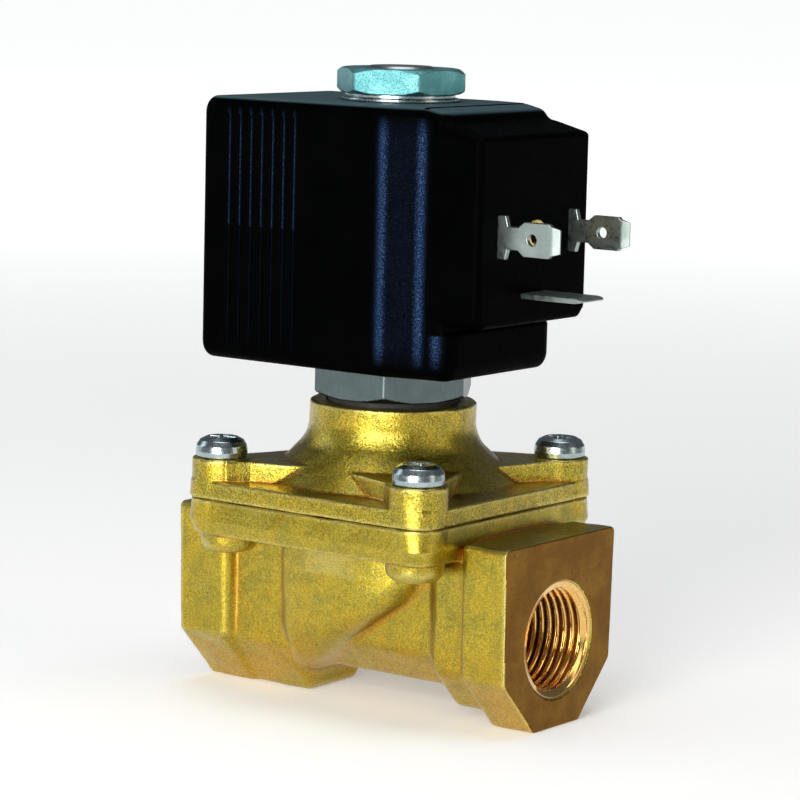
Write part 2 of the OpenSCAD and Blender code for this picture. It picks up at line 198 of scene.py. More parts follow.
def bore_x(x, y, z, r, low, high, edge=0.0):
    return meet(np.hypot(y, z) - r, slab(x, low, high), edge)


def turned(profile, x, y, z):
    """Solid of revolution about the tube's axis from a closed (radius, height) polygon."""
    return polygon(profile, np.hypot(x, y), z)


# ---- meshing
def sample(solid, axes, origin, shape):
    """The distance on a grid, worked out only in blocks that the surface may cross."""
    step = 6
    cells = [int(math.ceil(n / step)) for n in shape]
    centre = [origin[k] + (np.arange(cells[k]) * step + (step - 1) / 2) * axes[k] for k in range(3)]
    cx, cy, cz = np.meshgrid(*centre, indexing="ij")
    rough = solid(cx, cy, cz)
    reach = math.sqrt(sum((axes[k] * (step + 1) / 2) ** 2 for k in range(3))) * 1.25
    field = np.repeat(np.repeat(np.repeat(rough, step, 0), step, 1), step, 2).astype(np.float32)
    active = np.argwhere(np.abs(rough) < reach)
    offsets = np.stack(np.meshgrid(*[np.arange(step)] * 3, indexing="ij"), -1).reshape(-1, 3)
    for start in range(0, len(active), 4000):
        index = (active[start:start + 4000, None, :] * step + offsets[None]).reshape(-1, 3)
        px, py, pz = (origin[k] + index[:, k] * axes[k] for k in range(3))
        field[index[:, 0], index[:, 1], index[:, 2]] = solid(px, py, pz)
    return field


def gradient(solid, points, h=0.02):
    slopes = []
    for k in range(3):
        ahead, behind = points.copy(), points.copy()
        ahead[:, k] += h
        behind[:, k] -= h
        slopes.append(solid(*ahead.T) - solid(*behind.T))
    return np.stack(slopes, -1) / (2 * h)


def facing(solid, points):
    """Unit normals of a solid at points on its surface."""
    slope = gradient(solid, points)
    return slope / np.maximum(np.linalg.norm(slope, axis=1), 1e-9)[:, None]


def polygonise(solid, low, high, axes):
    """Surface nets: one vertex in each cell the surface crosses, one quad on each edge."""
    origin = [low[k] - 1.5 * axes[k] for k in range(3)]
    shape = [int(math.ceil((high[k] - low[k]) / axes[k])) + 4 for k in range(3)]
    field = sample(solid, axes, origin, shape)
    inside = field < 0
    corners = [(i, j, k) for i in (0, 1) for j in (0, 1) for k in (0, 1)]
    size = [n - 1 for n in field.shape]

    def corner(block, c):
        return block[c[0]:c[0] + size[0], c[1]:c[1] + size[1], c[2]:c[2] + size[2]]

    total = sum(corner(inside, c).astype(np.int8) for c in corners)
    cells = np.argwhere((total > 0) & (total < 8))
    number = np.full(size, -1, np.int64)
    number[cells[:, 0], cells[:, 1], cells[:, 2]] = np.arange(len(cells))
    sums = np.zeros((len(cells), 3))
    hits = np.zeros(len(cells))
    for a in corners:
        for k in range(3):
            if a[k]:
                continue
            b = list(a)
            b[k] = 1
            va = field[cells[:, 0] + a[0], cells[:, 1] + a[1], cells[:, 2] + a[2]]
            vb = field[cells[:, 0] + b[0], cells[:, 1] + b[1], cells[:, 2] + b[2]]
            crossed = (va < 0) != (vb < 0)
            t = np.where(crossed, va / np.where(crossed, va - vb, 1), 0)
            point = np.tile(np.array(a, float), (len(cells), 1))
            point[:, k] = t
            sums += point * crossed[:, None]
            hits += crossed
    places = (cells + sums / hits[:, None]) * np.array(axes) + np.array(origin)
    quads = []
    for k in range(3):
        m, n = [(1, 2), (2, 0), (0, 1)][k]
        ahead = [slice(None)] * 3
        behind = [slice(None)] * 3
        ahead[k], behind[k] = slice(1, None), slice(None, -1)
        change = inside[tuple(behind)].astype(np.int8) - inside[tuple(ahead)].astype(np.int8)
        edges = np.argwhere(change != 0)
        edges = edges[(edges[:, m] > 0) & (edges[:, n] > 0)]
        edges = edges[(edges[:, m] < size[m]) & (edges[:, n] < size[n])]
        sign = change[edges[:, 0], edges[:, 1], edges[:, 2]]
        around = []
        for dm, dn in ((0, 0), (1, 0), (1, 1), (0, 1)):
            cell = edges.copy()
            cell[:, m] -= dm
            cell[:, n] -= dn
            around.append(number[cell[:, 0], cell[:, 1], cell[:, 2]])
        quad = np.stack(around, -1)
        quad[sign < 0] = quad[sign < 0][:, ::-1]
        quads.append(quad)
    quads = np.concatenate(quads)
    quads = quads[(quads >= 0).all(1)]
    reach = 0.6 * max(axes)
    for _ in range(3):
        slope = gradient(solid, places)
        steepness = np.maximum((slope ** 2).sum(1), 0.2)
        move = -slope * (solid(*places.T) / steepness)[:, None]
        length = np.linalg.norm(move, axis=1)
        move *= np.minimum(1, reach / np.maximum(length, 1e-9))[:, None]
        places = places + move
    return places, quads


def place_mesh(name, mesh):
    made = bpy.data.objects.new(name, mesh)
    bpy.context.scene.collection.objects.link(made)
    return made


def new_object(name, vertices, faces):
    mesh = bpy.data.meshes.new(name)
    places = np.asarray(vertices, float) * MM + np.array([AXIS_X, 0, 0])
    mesh.from_pydata(places.tolist(), [], [list(map(int, f)) for f in faces])
    mesh.validate()
    mesh.shade_smooth()
    return place_mesh(name, mesh)


def points_of(piece):
    """Vertices of a piece in the millimetres that the solids use."""
    flat = np.zeros(3 * len(piece.data.vertices), np.float32)
    piece.data.vertices.foreach_get("co", flat)
    return (flat.reshape(-1, 3) - np.array([AXIS_X, 0, 0])) / MM


def from_solid(name, solid, low, high, axes, keep=1.0, reach=0.0):
    """Mesh piece from a distance, with the solid's own normals. With a reach, each point
    also gets an "edge" value: above 0 on outward edges, below 0 in corners."""
    places, quads = polygonise(solid, low, high, axes)
    mesh = bpy.data.meshes.new(name)
    mesh.vertices.add(len(places))
    mesh.vertices.foreach_set("co", places.astype(np.float32).ravel())
    mesh.loops.add(4 * len(quads))
    mesh.loops.foreach_set("vertex_index", quads.astype(np.int32).ravel())
    mesh.polygons.add(len(quads))
    mesh.polygons.foreach_set("loop_start", np.arange(0, 4 * len(quads), 4, dtype=np.int32))
    mesh.update(calc_edges=True)
    mesh.validate()
    made = place_mesh(name, mesh)
    if keep < 1:
        thin = made.modifiers.new("thin", "DECIMATE")
        thin.ratio = keep
        depsgraph = bpy.context.evaluated_depsgraph_get()
        thinned = bpy.data.meshes.new_from_object(made.evaluated_get(depsgraph))
        made.modifiers.clear()
        made.data = thinned
        bpy.data.meshes.remove(mesh)
        mesh = thinned
    count = len(mesh.vertices)
    flat = np.zeros(3 * count, np.float32)
    mesh.vertices.foreach_get("co", flat)
    points = flat.reshape(-1, 3).astype(float)
    if reach:
        value = sum(
            solid(*(points + way * reach * np.eye(3)[k]).T) for k in range(3) for way in (-1, 1)
        ) / (6 * reach)
        layer = mesh.attributes.new("edge", "FLOAT", "POINT")
        layer.data.foreach_set("value", value.astype(np.float32))
    mesh.vertices.foreach_set(
        "co", (points * MM + np.array([AXIS_X, 0, 0])).astype(np.float32).ravel()
    )
    mesh.shade_smooth()
    mesh.normals_split_custom_set_from_vertices(facing(solid, points).tolist())
    mesh.update()
    return made


def revolve(name, profile, around=96):
    """Turned piece from a closed (radius, height) profile; radius 0 closes on the axis."""
    vertices, rings = [], []
    for r, z in profile:
        if r < 1e-6:
            rings.append([len(vertices)])
            vertices.append((0.0, 0.0, z))
        else:
            rings.append(list(range(len(vertices), len(vertices) + around)))
            for i in range(around):
                a = 2 * math.pi * i / around
                vertices.append((r * math.cos(a), r * math.sin(a), z))
    faces = []
    for p in range(len(profile)):
        one, two = rings[p], rings[(p + 1) % len(profile)]
        if len(one) == 1 and len(two) == 1:
            continue
        for i in range(around):
            j = (i + 1) % around
            if len(one) == 1:
                faces.append((one[0], two[j], two[i]))
            elif len(two) == 1:
                faces.append((one[i], one[j], two[0]))
            else:
                faces.append((one[i], one[j], two[j], two[i]))
    made = new_object(name, vertices, faces)
    made.data.set_sharp_from_angle(angle=math.radians(32))
    return made


def rounded_profile(points, r, steps=4):
    """Closed (radius, height) profile with each corner off the axis rounded to radius r."""
    made = []
    count = len(points)
    for i in range(count):
        before = np.array(points[i - 1], float)
        here = np.array(points[i], float)
        after = np.array(points[(i + 1) % count], float)
        into, out = before - here, after - here
        li, lo = np.linalg.norm(into), np.linalg.norm(out)
        if here[0] < 1e-6 or min(li, lo) < 1e-6:
            made.append(tuple(here))
            continue
        into, out = into / li, out / lo
        half = math.acos(max(-1.0, min(1.0, float(into @ out)))) / 2
        if half > math.radians(82):
            made.append(tuple(here))
            continue
        reach = min(r / math.tan(half), 0.45 * li, 0.45 * lo)
        start, end = here + into * reach, here + out * reach
        for s in range(steps + 1):
            t = s / steps
            made.append(tuple((1 - t) ** 2 * start + 2 * t * (1 - t) * here + t * t * end))
    return made


def tube_along(name, path, radius, sides=12):
    """Round wire along a path, closed by a cap at each end."""
    path = np.asarray(path, float)
    along = np.gradient(path, axis=0)
    along /= np.linalg.norm(along, axis=1)[:, None]
    vertices, faces = [], []
    for p, t in zip(path, along):
        side = np.cross(t, (0, 0, 1.0))
        side /= np.linalg.norm(side)
        up = np.cross(side, t)
        for k in range(sides):
            a = 2 * math.pi * k / sides
            vertices.append(p + radius * (math.cos(a) * side + math.sin(a) * up))
    for i in range(len(path) - 1):
        for k in range(sides):
            n = (k + 1) % sides
            faces.append((i * sides + k, i * sides + n, (i + 1) * sides + n, (i + 1) * sides + k))
    faces.append(list(range(sides))[::-1])
    faces.append([(len(path) - 1) * sides + k for k in range(sides)])
    return new_object(name, vertices, faces)


def spring(name, radius, wire, low, high, turns, flat=0.8, steps_each=48):
    """Compression spring with most of a turn at each end lying flat."""
    steps = int(turns * steps_each)
    coil_gap = wire * 0.85
    path = []
    for i in range(steps + 1):
        t = i / steps
        turn = turns * t
        rise = min(max((turn - flat) / (turns - 2 * flat), 0.0), 1.0)
        ends = min(turn, flat) + min(max(turn - turns + flat, 0), flat)
        z = low + wire / 2 + coil_gap * ends / flat + rise * (high - low - wire - 2 * coil_gap)
        a = 2 * math.pi * turn
        path.append((radius * math.cos(a), radius * math.sin(a), z))
    return tube_along(name, path, wire / 2)


# ---- materials
class Graph:
    """Short names for adding and linking shader nodes."""

    def __init__(self, name):
        self.material = bpy.data.materials.new(name)
        self.material.use_nodes = True
        self.tree = self.material.node_tree
        self.shader = self.tree.nodes["Principled BSDF"]
        self.coords = self.add("ShaderNodeTexCoord").outputs["Object"]

    def add(self, kind, **settings):
        node = self.tree.nodes.new(kind)
        for key, value in settings.items():
            setattr(node, key, value)
        return node

    def put(self, value, socket):
        """Sets a number or a colour on a socket, or links another node's output to it."""
        if isinstance(value, tuple):
            socket.default_value = (*value, 1.0)
        elif isinstance(value, (int, float)):
            socket.default_value = value
        else:
            self.tree.links.new(value, socket)

    def scaled(self, x=1.0, y=1.0, z=1.0, turn=(0.0, 0.0, 0.0)):
        node = self.add("ShaderNodeMapping")
        node.inputs["Scale"].default_value = (x, y, z)
        node.inputs["Rotation"].default_value = turn
        self.put(self.coords, node.inputs["Vector"])
        return node.outputs["Vector"]

    def noise(self, size_mm, detail=3.0, rough=0.55, vector=None):
        node = self.add("ShaderNodeTexNoise")
        node.inputs["Scale"].default_value = 1.0 / (size_mm * MM)
        node.inputs["Detail"].default_value = detail
        node.inputs["Roughness"].default_value = rough
        self.put(vector or self.coords, node.inputs["Vector"])
        return node.outputs["Fac"]

    def band(self, value, low, high, to_low=0.0, to_high=1.0):
        node = self.add("ShaderNodeMapRange")
        node.interpolation_type = "SMOOTHSTEP"
        node.inputs["From Min"].default_value = low
        node.inputs["From Max"].default_value = high
        node.inputs["To Min"].default_value = to_low
        node.inputs["To Max"].default_value = to_high
        self.put(value, node.inputs["Value"])
        return node.outputs["Result"]

    def math(self, operation, a, b):
        node = self.add("ShaderNodeMath", operation=operation)
        self.put(a, node.inputs[0])
        self.put(b, node.inputs[1])
        return node.outputs[0]

    def mix(self, share, one, two):
        node = self.add("ShaderNodeMix", data_type="RGBA")
        self.put(share, node.inputs["Factor"])
        self.put(one, node.inputs[6])
        self.put(two, node.inputs[7])
        return node.outputs[2]

    def attribute(self, name):
        return self.add("ShaderNodeAttribute", attribute_name=name).outputs["Fac"]

    def bump(self, height, depth_mm, strength=1.0, before=None):
        node = self.add("ShaderNodeBump")
        node.inputs["Strength"].default_value = strength
        node.inputs["Distance"].default_value = depth_mm * MM
        self.put(height, node.inputs["Height"])
        if before is not None:
            self.put(before, node.inputs["Normal"])
        return node.outputs["Normal"]

    def z_of(self, vector):
        node = self.add("ShaderNodeSeparateXYZ")
        self.put(vector, node.inputs[0])
        return node.outputs["Z"]

    def facing_up(self):
        return self.z_of(self.add("ShaderNodeNewGeometry").outputs["Normal"])

    def finish(self, colour, roughness, normal=None, **constants):
        for key, value in constants.items():
            self.shader.inputs[key].default_value = value
        self.put(colour, self.shader.inputs["Base Color"])
        self.put(roughness, self.shader.inputs["Roughness"])
        if normal is not None:
            self.put(normal, self.shader.inputs["Normal"])
        return self.material


def brass_forging(name, grain=1.0, dark=0.0):
    """Blasted brass: olive gold with a greenish cast, pitted, with painted orange-brown shade in
    the corners.
    """
    g = Graph(name)
    cloud = g.noise(9.0, 3.0)
    patch = g.noise(2.6, 4.0, 0.6)
    speck = g.noise(0.42, 5.0, 0.7)
    base = g.mix(g.band(cloud, 0.38, 0.62), (0.45, 0.345, 0.020), (0.54, 0.375, 0.016))
    base = g.mix(g.band(patch, 0.40, 0.70), base, (0.34, 0.29, 0.024))
    low_down = g.band(g.z_of(g.coords), 4 * MM, -11 * MM)
    low_down = g.math("MULTIPLY", low_down, g.band(cloud, 0.30, 0.60, 0.25, 0.85))
    base = g.mix(low_down, base, (0.55, 0.31, 0.008))
    edge = g.attribute("edge")
    # painted shade: darker orange-brown in concave corners and creases, where the edge value is
    # below 0
    painted_corner_shade = g.band(edge, -0.02, -0.20)
    painted_corner_shade = g.math("MULTIPLY", painted_corner_shade, g.band(patch, 0.2, 0.55, 0.65, 1.0))
    base = g.mix(painted_corner_shade, base, (0.50, 0.24, 0.010))
    bright = g.band(edge, 0.05, 0.30)
    base = g.mix(g.math("MULTIPLY", bright, 0.55), base, (0.78, 0.66, 0.22))
    pits = g.band(speck, 0.66, 0.76)
    pits = g.math("MULTIPLY", pits, g.band(g.noise(3.4, 2.0), 0.40, 0.62, 0.12, 0.9 * grain))
    base = g.mix(pits, base, (0.12, 0.085, 0.012))
    stain = g.band(g.noise(1.3, 5.0, 0.65), 0.56, 0.74, 0.0, 0.38 * grain + dark)
    base = g.mix(stain, base, (0.24, 0.19, 0.030))
    fine = g.noise(0.24, 3.0, 0.65)
    base = g.mix(g.band(fine, 0.52, 0.62, 0.0, 0.55 * grain), base, (0.17, 0.12, 0.010))
    base = g.mix(g.band(fine, 0.48, 0.38, 0.0, 0.40 * grain), base, (0.74, 0.63, 0.12))
    normal = g.bump(fine, 0.055 * grain, 0.6)
    normal = g.bump(g.noise(0.75, 3.0, 0.6), 0.10 * grain, 0.5, normal)
    normal = g.bump(g.noise(5.0, 2.0), 0.35, 0.35, normal)
    normal = g.bump(g.math("SUBTRACT", 1.0, pits), 0.05, 0.7, normal)
    rough = g.band(patch, 0.3, 0.75, 0.27, 0.42)
    rough = g.math("ADD", rough, g.math("MULTIPLY", pits, 0.25))
    g.put(normal, g.shader.inputs["Coat Normal"])
    return g.finish(base, rough, normal, Metallic=1.0,
                    **{"Coat Weight": 0.45, "Coat Roughness": 0.22})


def machined_brass(name):
    """Sawn and faced brass of the port ends: darker bronze with faint cutter marks."""
    g = Graph(name)
    lines = g.noise(0.16, 2.0, 0.5, g.scaled(1.0, 0.08, 1.0, (0.5, 0.0, 0.0)))
    cloud = g.noise(5.0, 4.0, 0.6)
    base = g.mix(g.band(cloud, 0.35, 0.68), (0.18, 0.078, 0.004), (0.25, 0.12, 0.008))
    base = g.mix(g.band(g.noise(0.8, 4.0), 0.55, 0.75), base, (0.13, 0.055, 0.006))
    rough = g.band(lines, 0.3, 0.7, 0.34, 0.46)
    normal = g.bump(lines, 0.012, 0.5)
    return g.finish(base, rough, normal, Metallic=1.0)


def thread_brass(name):
    g = Graph(name)
    streak = g.noise(0.5, 3.0, 0.6, g.scaled(6.0, 1.0, 1.0))
    base = g.mix(g.band(streak, 0.35, 0.7), (0.84, 0.46, 0.10), (0.95, 0.64, 0.22))
    rough = g.band(g.noise(0.3, 3.0), 0.3, 0.7, 0.14, 0.26)
    return g.finish(base, rough, g.bump(streak, 0.01, 0.4), Metallic=1.0,
                    **{"Coat Weight": 0.8, "Coat Roughness": 0.08})


def turned_brass(name):
    g = Graph(name)
    cloud = g.noise(1.5, 3.0)
    base = g.mix(g.band(cloud, 0.35, 0.7), (0.72, 0.50, 0.16), (0.80, 0.60, 0.24))
    lines = g.noise(0.06, 2.0, 0.5, g.scaled(1.0, 0.1, 0.1))
    rough = g.band(lines, 0.3, 0.7, 0.16, 0.28)
    return g.finish(base, rough, g.bump(lines, 0.005, 0.4), Metallic=1.0)


def plated_steel(name, low, high, grain_mm=0.5, rough=(0.16, 0.30), depth=0.02, spots=0.45):
    """Zinc plate: a slight tint that wanders, with a sparkling grain."""
    g = Graph(name)
    cloud = g.noise(3.0, 3.0)
    grain = g.noise(grain_mm, 5.0, 0.7)
    base = g.mix(g.band(cloud, 0.35, 0.7), low, high)
    base = g.mix(g.band(grain, 0.60, 0.78, 0.0, spots), base, tuple(0.45 * c for c in low))
    finish = g.band(grain, 0.3, 0.7, *rough)
    return g.finish(base, finish, g.bump(grain, depth, 0.6), Metallic=1.0)


def brushed_steel(name, colour, along=(1.0, 1.0, 0.04), rough=(0.26, 0.40)):
    """Turned or drawn steel with fine lines round or along it."""
    g = Graph(name)
    lines = g.noise(0.12, 3.0, 0.6, g.scaled(*along))
    cloud = g.noise(2.5, 3.0)
    base = g.mix(g.band(cloud, 0.35, 0.7), tuple(0.88 * c for c in colour), colour)
    base = g.mix(g.band(lines, 0.55, 0.75, 0.0, 0.3), base, tuple(0.6 * c for c in colour))
    return g.finish(base, g.band(lines, 0.3, 0.7, *rough), g.bump(lines, 0.01, 0.5), Metallic=1.0)


def coil_plastic(name):
    """Glass-filled black moulding with fine eroded grain, painted blue highlight glints on the
    marked edges and a painted lighter sheen on the top face.
    """
    g = Graph(name)
    grain = g.noise(0.20, 3.0, 0.65)
    soft = g.noise(1.1, 3.0, 0.55)
    cloud = g.noise(8.0, 3.0)
    base = g.mix(g.band(cloud, 0.35, 0.68), (0.0002, 0.0003, 0.0004), (0.0005, 0.0006, 0.0007))
    painted_glint = g.attribute("painted_glint")
    # painted highlight: blue glints along the marked facet edges and groove rims
    glint = g.math("MULTIPLY", painted_glint, g.band(g.noise(0.20, 2.0, 0.7), 0.50, 0.66, 0.14, 1.0))
    base = g.mix(glint, base, (0.050, 0.105, 0.26))
    normal = g.bump(grain, 0.030, 0.55)
    normal = g.bump(soft, 0.05, 0.3, normal)
    height = g.z_of(g.coords)
    # painted sheen: upward-facing surfaces near the top are made lighter and bluer, standing in for
    # light from above
    painted_top_sheen = g.math("MULTIPLY", g.band(g.facing_up(), 0.75, 0.97),
                 g.band(height, 74.8 * MM, 75.8 * MM))
    base = g.mix(painted_top_sheen, base, (0.054, 0.092, 0.106))
    offset = g.math("SUBTRACT", height, SEAM_Z * MM)
    line = g.band(g.math("ABSOLUTE", offset, 0.0), 0.06 * MM, 0.22 * MM)
    normal = g.bump(line, 0.05, 0.5, normal)
    rough = g.band(soft, 0.3, 0.7, 0.38, 0.50)
    rough = g.math("SUBTRACT", rough, g.math("MULTIPLY", glint, 0.12))
    return g.finish(base, rough, normal, Metallic=0.0, **{"Specular IOR Level": 0.008})


def rubber(name, colour=(0.018, 0.018, 0.018), weave=False):
    g = Graph(name)
    cloud = g.noise(1.2, 4.0)
    base = g.mix(g.band(cloud, 0.35, 0.7), colour, tuple(1.6 * c for c in colour))
    normal = g.bump(g.noise(0.15, 3.0), 0.02, 0.5)
    if weave:
        across = g.add("ShaderNodeTexWave", wave_type="BANDS", bands_direction="X")
        along = g.add("ShaderNodeTexWave", wave_type="BANDS", bands_direction="Y")
        for wave in (across, along):
            wave.inputs["Scale"].default_value = 400.0
            g.put(g.coords, wave.inputs["Vector"])
        threads = g.math("MULTIPLY", across.outputs["Fac"], along.outputs["Fac"])
        normal = g.bump(threads, 0.04, 0.6, normal)
    return g.finish(base, g.band(cloud, 0.3, 0.7, 0.55, 0.75), normal)


def wound_wire(name):
    g = Graph(name)
    turns = g.add("ShaderNodeTexWave", wave_type="BANDS", bands_direction="Z")
    turns.inputs["Scale"].default_value = 900.0
    turns.inputs["Distortion"].default_value = 0.6
    g.put(g.coords, turns.inputs["Vector"])
    base = g.mix(turns.outputs["Fac"], (0.20, 0.06, 0.02), (0.62, 0.26, 0.10))
    return g.finish(base, 0.3, g.bump(turns.outputs["Fac"], 0.06, 0.8), Metallic=1.0)


MATERIALS = {
    "brass_forging": brass_forging("brass_forging", 1.0),
    "brass_bonnet": brass_forging("brass_bonnet", 1.5, 0.10),
    "machined_brass": machined_brass("machined_brass"),
    "thread_brass": thread_brass("thread_brass"),
    "turned_brass": turned_brass("turned_brass"),
    "zinc_steel": plated_steel("zinc_steel", (0.36, 0.44, 0.46), (0.48, 0.56, 0.57), 0.5,
                               (0.20, 0.30), 0.004),
    "zinc_nut": plated_steel("zinc_nut", (0.12, 0.36, 0.38), (0.20, 0.50, 0.52), 0.55,
                             (0.30, 0.44), 0.30, 0.85),
    "turned_steel": brushed_steel("turned_steel", (0.13, 0.17, 0.17)),
    "stud_steel": brushed_steel("stud_steel", (0.30, 0.34, 0.36), (1.0, 1.0, 1.0)),
    "stainless": brushed_steel("stainless", (0.58, 0.59, 0.60)),
    "spring_steel": brushed_steel("spring_steel", (0.50, 0.52, 0.54), (1.0, 1.0, 1.0)),
    "yoke_steel": brushed_steel("yoke_steel", (0.34, 0.35, 0.37), (0.05, 1.0, 1.0)),
    "copper": brushed_steel("copper", (0.72, 0.36, 0.22), (1.0, 1.0, 0.1)),
    "copper_wire": wound_wire("copper_wire"),
    "tinned_brass": plated_steel("tinned_brass", (0.31, 0.37, 0.35), (0.39, 0.45, 0.43),
                                 0.8, (0.26, 0.38), 0.008, 0.12),
    "rubber": rubber("rubber"),
    "membrane_rubber": rubber("membrane_rubber", (0.03, 0.026, 0.022), True),
    "coil_plastic": coil_plastic("coil_plastic"),
    "bobbin_plastic": rubber("bobbin_plastic", (0.05, 0.055, 0.075)),
}


def dress(piece, material, body, node=None):
    """Gives a piece its material and body, and hides the CAD node it stands for."""
    piece.data.materials.clear()
    piece.data.materials.append(MATERIALS[material])
    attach(piece, body)
    if node:
        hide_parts(node)
    return piece


def squash(piece, material, node):
    """Dresses a piece and gives it its own copy of its mesh."""
    dress(piece, material, "valve", node)
    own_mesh(piece)


# ---- valve body
LEFT_BLOCK_T = 9.3
RIGHT_BLOCK_T = 8.2
BOWL_LEFT = -10.9  # flat end of the bowl below the membrane
BOWL_R = 17.3
CHAMBER_R = 14.5  # under and over the membrane
LOBE_Y, LOBE_Z = 15.4, 21.0  # half axes of the bowl's section
CREASE_Z = 14.3  # widest line of the flange
DRAIN_X = 19.4
HOLLOW_TOP = JOINT_Z + 1  # cutters run past the joint


def mirrored(half):
    """Closed anticlockwise outline from its half on the negative side, top to bottom."""
    return half + [(-u, v) for u, v in reversed(half)]


def at_screws(x, y):
    """The same place seen from the nearest screw's axis."""
    return np.abs(x) - SCREW, np.abs(y) - SCREW


def wander(x, y, z, size, amount):
    """Slow unevenness of a forged skin, the same on every run."""
    k = 2 * math.pi / size
    return amount / 3 * (
        np.sin(k * (x + 0.6 * y) + 1.3) * np.sin(k * (0.8 * z - 0.3 * x))
        + np.sin(k * 1.7 * (y - 0.4 * z) + 0.4) * np.sin(k * 1.3 * (x + 0.5 * z) + 2.0)
        + np.sin(k * 2.3 * (z + 0.5 * y) + 2.2) * np.sin(k * 2.1 * (x - 0.6 * y) + 0.7)
    )


def flange_plan(x, y, half):
    return box2(x, y, half, half, 3.5)


def passage(x, y, z):
    """Everything hollow inside the body."""
    sleeve_r, seat_r, drain_r = 8.4, 6.0, 0.8
    threads = [bore_x(x, y, z, sleeve_r, OUTLET_X - THREAD_LEN, OUTLET_X + 1),
               bore_x(x, y, z, sleeve_r, INLET_X - 1, INLET_X + THREAD_LEN)]
    for out in (INLET_X - x, x - OUTLET_X):
        threads.append(meet((np.hypot(y, z) - MOUTH_R - out) * DIAGONAL, -out - 4))
    slant = math.radians(42)
    ax, az = math.sin(slant), math.cos(slant)
    start = x - (12 + INLET_X)
    across = np.hypot(start * az - z * ax, y)
    inlet = union(
        bore_x(x, y, z, PASSAGE_R, INLET_X + 1, -9.0),
        meet(across - PASSAGE_R, slab(start * ax + z * az, 0, 17)),
        rod(x, y, z, CHAMBER_R, 8, HOLLOW_TOP),
    )
    wall = turned([(0, FOOT_Z), (7.7, FOOT_Z), (7.7, 12.3), (7.0, 12.3), (7.0, 13.2), (6.7, 13.5),
                   (0, 13.5)], x, y, z)
    return union(
        cut(inlet, wall), *threads,
        bore_x(x, y, z, PASSAGE_R, 0, OUTLET_X - 1),
        rod(x, y, z, seat_r, 0, HOLLOW_TOP),
        np.sqrt(x * x + y * y + z * z) - seat_r,
        rod(x, y, z, BOWL_R, JOINT_Z - 1.3, HOLLOW_TOP),
        rod(*at_screws(x, y), z, 2.0, 10.6, HOLLOW_TOP),
        rod(x - DRAIN_X, y, z, drain_r, 3, HOLLOW_TOP),
        rod(x - DRAIN_X, y, z, 1.7, JOINT_Z - 0.7, HOLLOW_TOP),
    )


def body_outside(x, y, z):
    outline = mirrored([(-14.1, 14.9), (-13.6, -4.7), (-5.8, FOOT_Z)])
    outline = soft_polygon(outline, y, z, 0.9)
    blocks = None
    for face, inner, edge in ((INLET_X - x, x - INLET_X - LEFT_BLOCK_T, 1.7),
                              (x - OUTLET_X, OUTLET_X - RIGHT_BLOCK_T - x, 1.5)):
        block = meet(meet(outline, face, 0.22), inner, edge)
        blocks = block if blocks is None else join(blocks, block)
    band = soft_polygon(mirrored([(-11.9, 11.4), (-11.9, -5.2), (-5.6, FOOT_Z)]), y, z, 1.6)
    left_band = meet(band, slab(x, INLET_X + 2, BOWL_LEFT + 1.2), 1.2)
    right_band = mirrored([(-11.9, 14.0), (-11.9, -4.6), (-5.4, -11.2)])
    right_band = soft_polygon(right_band, y, z, 3.4)
    right_band = meet(right_band, slab(x, 16.0, OUTLET_X - 2), 1.9)
    barrel = soft_polygon(mirrored([(-9.8, 14.0), (-9.8, -3.2), (-4.4, -8.7)]), y, z, 3.2)
    barrel = meet(barrel, slab(x, BOWL_LEFT + 1, OUTLET_X - 2))
    made = join(blocks, left_band, 0.7)
    made = join(made, join(barrel, right_band, 1.7), 0.9)
    drop = np.minimum(z - 8.0, 0)
    section = np.hypot(y / LOBE_Y, drop / LOBE_Z)
    steep = np.hypot(y / LOBE_Y ** 2, drop / LOBE_Z ** 2)
    section = (section - 1) * section / np.maximum(steep, 1e-6)
    lobe = meet(np.hypot(x, y) - BOWL_R, section, 2.5)
    slant = math.radians(36)
    under = (x + 8.6) * math.sin(slant) - (z + 9.6) * math.cos(slant)
    lobe = meet(lobe, under, 2.6)
    lobe = meet(lobe, BOWL_LEFT - x, 2.8)
    lobe = meet(lobe, FOOT_Z - z, 1.0)
    lobe = meet(lobe, z - JOINT_Z + 1)
    made = join(made, lobe, 1.0)
    half = 22.3 - 0.08 * np.maximum(z - CREASE_Z, 0) - 0.34 * np.maximum(CREASE_Z - z, 0)
    plate = meet(flange_plan(x, y, half), slab(z, 12.1, JOINT_Z - 0.06), 0.3)
    made = join(made, plate, 0.6)
    sx, sy = at_screws(x, y)
    lug = meet(np.hypot(sx + 1, sy + 1) - 4.3 - 0.05 * (z - 12), 9.4 - z, 1.5)
    lug = meet(lug, z - JOINT_Z + 1)
    made = join(made, lug, 0.2)
    boss = meet(np.hypot(sx, sy) - 4.33, slab(z, CREASE_Z, JOINT_Z - 0.06), 0.3)
    made = join(made, boss, 0.2)
    return made + wander(x, y, z, 17.0, 0.10) * np.clip((OUTLET_X - np.abs(x)) / 4, 0, 1)


def body_solid(x, y, z):
    made = body_outside(x, y, z)
    made = meet(made, np.abs(y) - SIDE_Y)
    made = meet(made, z - JOINT_Z)
    made = meet(made, np.maximum(INLET_X - x, x - OUTLET_X), 0.2)
    made = meet(made, FOOT_Z - z)
    return cut(made, passage(x, y, z))


